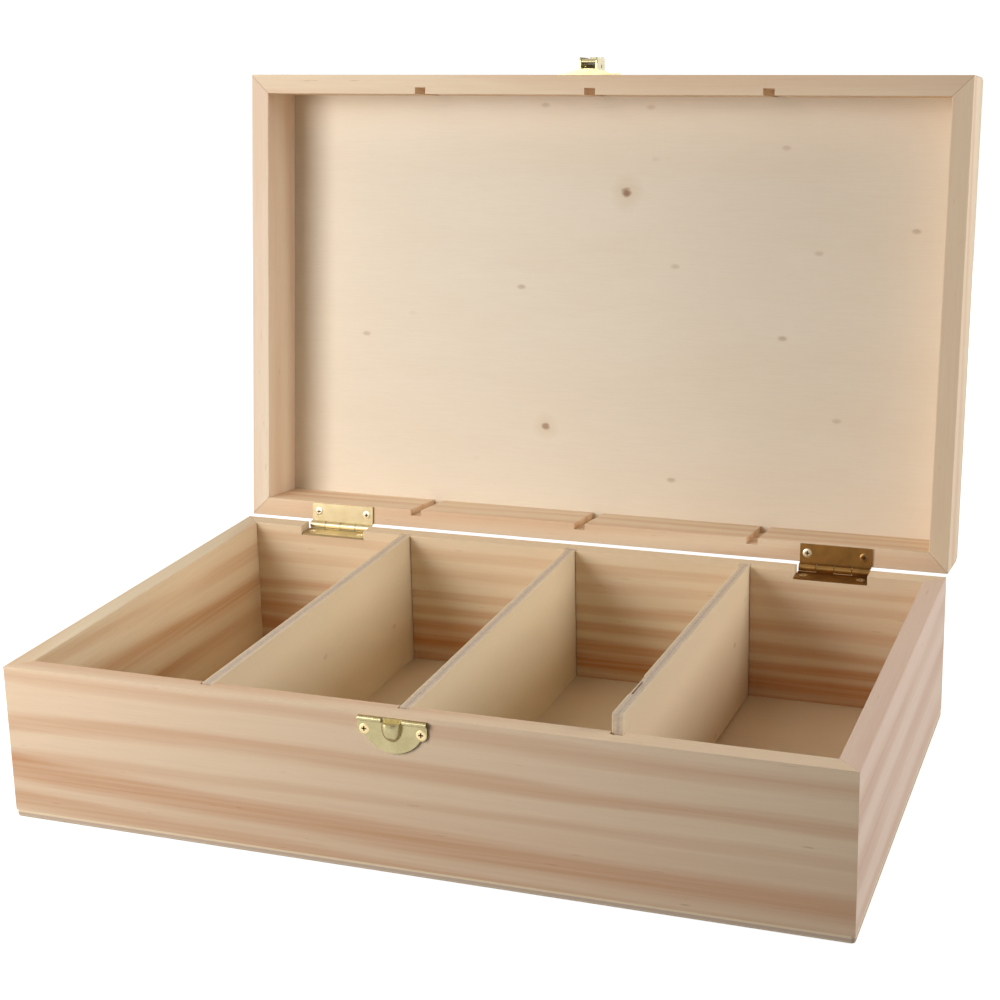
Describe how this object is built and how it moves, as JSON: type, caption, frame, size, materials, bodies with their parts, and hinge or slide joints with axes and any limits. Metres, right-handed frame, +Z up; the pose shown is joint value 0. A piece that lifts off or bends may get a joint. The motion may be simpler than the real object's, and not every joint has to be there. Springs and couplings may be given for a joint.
{
  "type": "lidded compartment box",
  "caption": "Shallow pine box with a hinged lid, lift-out plywood dividers that make compartments for sorting small parts, and a brass catch.",
  "frame": {"origin": "centre of the box's underside, on the surface it stands on", "axes": "+Z up, +X along the box to its right end, -Y towards the front with the catch; the lid is at its rest angle, open and leaning back"},
  "size_m": [0.34, 0.2814, 0.286],
  "materials": {
    "pine": "planed and sanded, unfinished",
    "plywood_panel": "sanded veneer, unfinished",
    "plywood_divider": "sanded veneer, unfinished",
    "brass_hinge": "brass plated, bright",
    "brass_catch": "brass plated, bright",
    "brass_screw": "brass plated, bright"
  },
  "bodies": {
    "box": {"base_front_wall": "pine", "base_back_wall": "pine", "base_left_wall": "pine", "base_right_wall": "pine", "bottom_panel": "plywood_panel", "hinge_left_base_leaf": "brass_hinge", "hinge_right_base_leaf": "brass_hinge", "hinge_left_pin": "brass_hinge", "hinge_right_pin": "brass_hinge", "hinge_left_base_screws": "brass_screw", "hinge_right_base_screws": "brass_screw", "strike_plate": "brass_catch", "strike_screws": "brass_screw"},
    "lid": {"lid_front_rail": "pine", "lid_rear_rail": "pine", "lid_left_rail": "pine", "lid_right_rail": "pine", "lid_panel": "plywood_panel", "hinge_left_lid_leaf": "brass_hinge", "hinge_right_lid_leaf": "brass_hinge", "hinge_left_lid_screws": "brass_screw", "hinge_right_lid_screws": "brass_screw", "catch_plate": "brass_catch", "catch_screws": "brass_screw"},
    "clasp": {"clasp": "brass_catch", "clasp_pin": "brass_catch"},
    "divider_left": {"divider_left": "plywood_divider"},
    "divider_middle": {"divider_middle": "plywood_divider"},
    "divider_right": {"divider_right": "plywood_divider"}
  },
  "joints": [
    {"name": "lid_hinge", "type": "hinge", "parent": "box", "child": "lid", "pos_m": [0, 0.1096, 0.063], "axis": [-1, 0, 0], "range_deg": [-96.5, 83.5]},
    {"name": "clasp_hinge", "type": "hinge", "parent": "lid", "child": "clasp", "pos_m": [-0.0009, 0.13954, 0.28423], "axis": [-1, 0, 0], "range_deg": [-180, 0]},
    {"name": "divider_left_lift", "type": "slide", "parent": "box", "child": "divider_left", "axis": [0, 0, 1], "range_m": [0, 0.068]},
    {"name": "divider_middle_lift", "type": "slide", "parent": "box", "child": "divider_middle", "axis": [0, 0, 1], "range_m": [0, 0.068]},
    {"name": "divider_right_lift", "type": "slide", "parent": "box", "child": "divider_right", "axis": [0, 0, 1], "range_m": [0, 0.068]}
  ]
}
